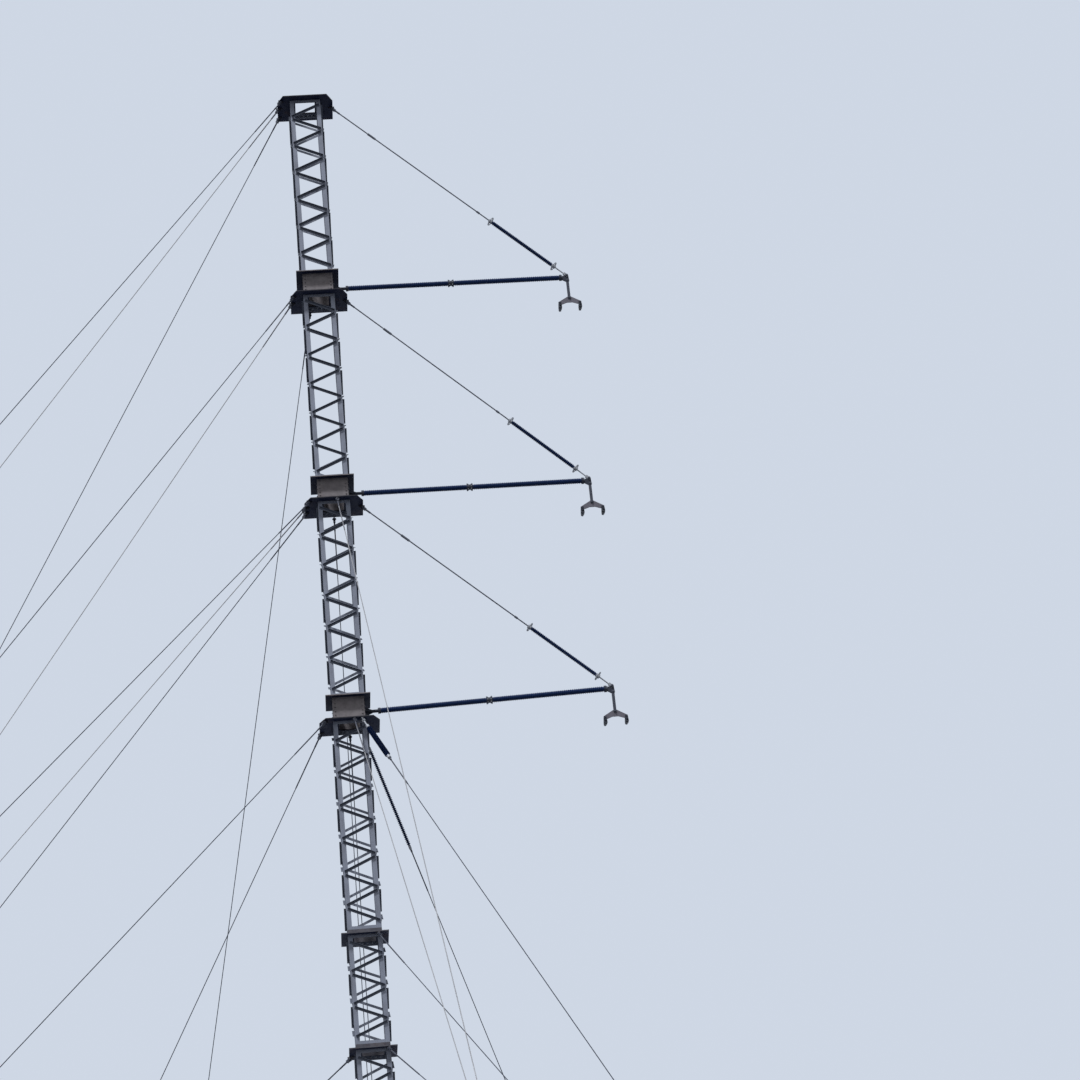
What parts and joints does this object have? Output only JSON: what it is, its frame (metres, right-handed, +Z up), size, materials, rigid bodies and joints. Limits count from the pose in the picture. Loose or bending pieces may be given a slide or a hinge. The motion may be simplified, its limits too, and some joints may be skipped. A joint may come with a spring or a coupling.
{
  "type": "guyed lattice transmission mast",
  "caption": "Square guyed lattice column with stacked horizontal insulator arms on one side, each held by a stay and carrying a hanging yoke for a pair of conductors.",
  "frame": {"origin": "middle of the foundation plate's underside, on the ground", "axes": "+Z up, +X out along the insulator arms, +Y along the line of the conductors"},
  "size_m": [38.5622, 38.3646, 36.267],
  "materials": {
    "column_metal": "mill-finish aluminium, dulled by weather",
    "plate_metal": "weathered plate, darker and stained underneath",
    "insulator_skin": "matt dark blue-grey silicone sheds",
    "fitting_steel": "hot-dip galvanised, dull",
    "guy_wire": "stranded wire, weathered dark grey",
    "foot_steel": "hot-dip galvanised plate"
  },
  "bodies": {
    "mast": {"foundation_plate": "foot_steel", "gimbal_base": "foot_steel", "gimbal_head": "foot_steel", "foot_section": "column_metal", "lower_section_1": "column_metal", "lower_section_2": "column_metal", "lower_section_3": "column_metal", "lower_joint_plate": "plate_metal", "short_section": "column_metal", "upper_joint_plate": "plate_metal", "mast_section_1": "column_metal", "mast_section_2": "column_metal", "mast_section_3": "column_metal", "mast_section_4": "column_metal", "guy_plate_lower": "plate_metal", "guy_plate_middle": "plate_metal", "guy_plate_upper": "plate_metal", "guy_plate_top": "plate_metal", "box_lower": "plate_metal", "box_middle": "plate_metal", "box_upper": "plate_metal", "post_lower": "insulator_skin", "post_middle": "insulator_skin", "post_upper": "insulator_skin", "stay_rod_lower": "fitting_steel", "stay_rod_middle": "fitting_steel", "stay_rod_upper": "fitting_steel", "stay_insulator_lower": "insulator_skin", "stay_insulator_middle": "insulator_skin", "stay_insulator_upper": "insulator_skin", "guys_top": "guy_wire", "guys_upper": "guy_wire", "guys_middle": "guy_wire", "guys_lower": "guy_wire", "guys_lower_right": "guy_wire", "guy_insulators": "insulator_skin", "guys_upper_joint": "guy_wire", "guys_lower_joint": "guy_wire", "ground_anchors": "foot_steel"},
    "link_lower": {"link_lower": "fitting_steel"},
    "yoke_lower": {"yoke_lower": "fitting_steel"},
    "link_middle": {"link_middle": "fitting_steel"},
    "yoke_middle": {"yoke_middle": "fitting_steel"},
    "link_upper": {"link_upper": "fitting_steel"},
    "yoke_upper": {"yoke_upper": "fitting_steel"}
  },
  "joints": [
    {"name": "link_swing_lower", "type": "hinge", "parent": "mast", "child": "link_lower", "pos_m": [5.325, 0, 22.201], "axis": [0, 1, 0], "range_deg": [-40, 40]},
    {"name": "yoke_swing_lower", "type": "hinge", "parent": "link_lower", "child": "yoke_lower", "pos_m": [5.325, 0, 21.781], "axis": [0, 1, 0], "range_deg": [-30, 30]},
    {"name": "link_swing_middle", "type": "hinge", "parent": "mast", "child": "link_middle", "pos_m": [5.325, 0, 26.823], "axis": [0, 1, 0], "range_deg": [-40, 40]},
    {"name": "yoke_swing_middle", "type": "hinge", "parent": "link_middle", "child": "yoke_middle", "pos_m": [5.325, 0, 26.403], "axis": [0, 1, 0], "range_deg": [-30, 30]},
    {"name": "link_swing_upper", "type": "hinge", "parent": "mast", "child": "link_upper", "pos_m": [5.325, 0, 31.62], "axis": [0, 1, 0], "range_deg": [-40, 40]},
    {"name": "yoke_swing_upper", "type": "hinge", "parent": "link_upper", "child": "yoke_upper", "pos_m": [5.325, 0, 31.2], "axis": [0, 1, 0], "range_deg": [-30, 30]}
  ]
}
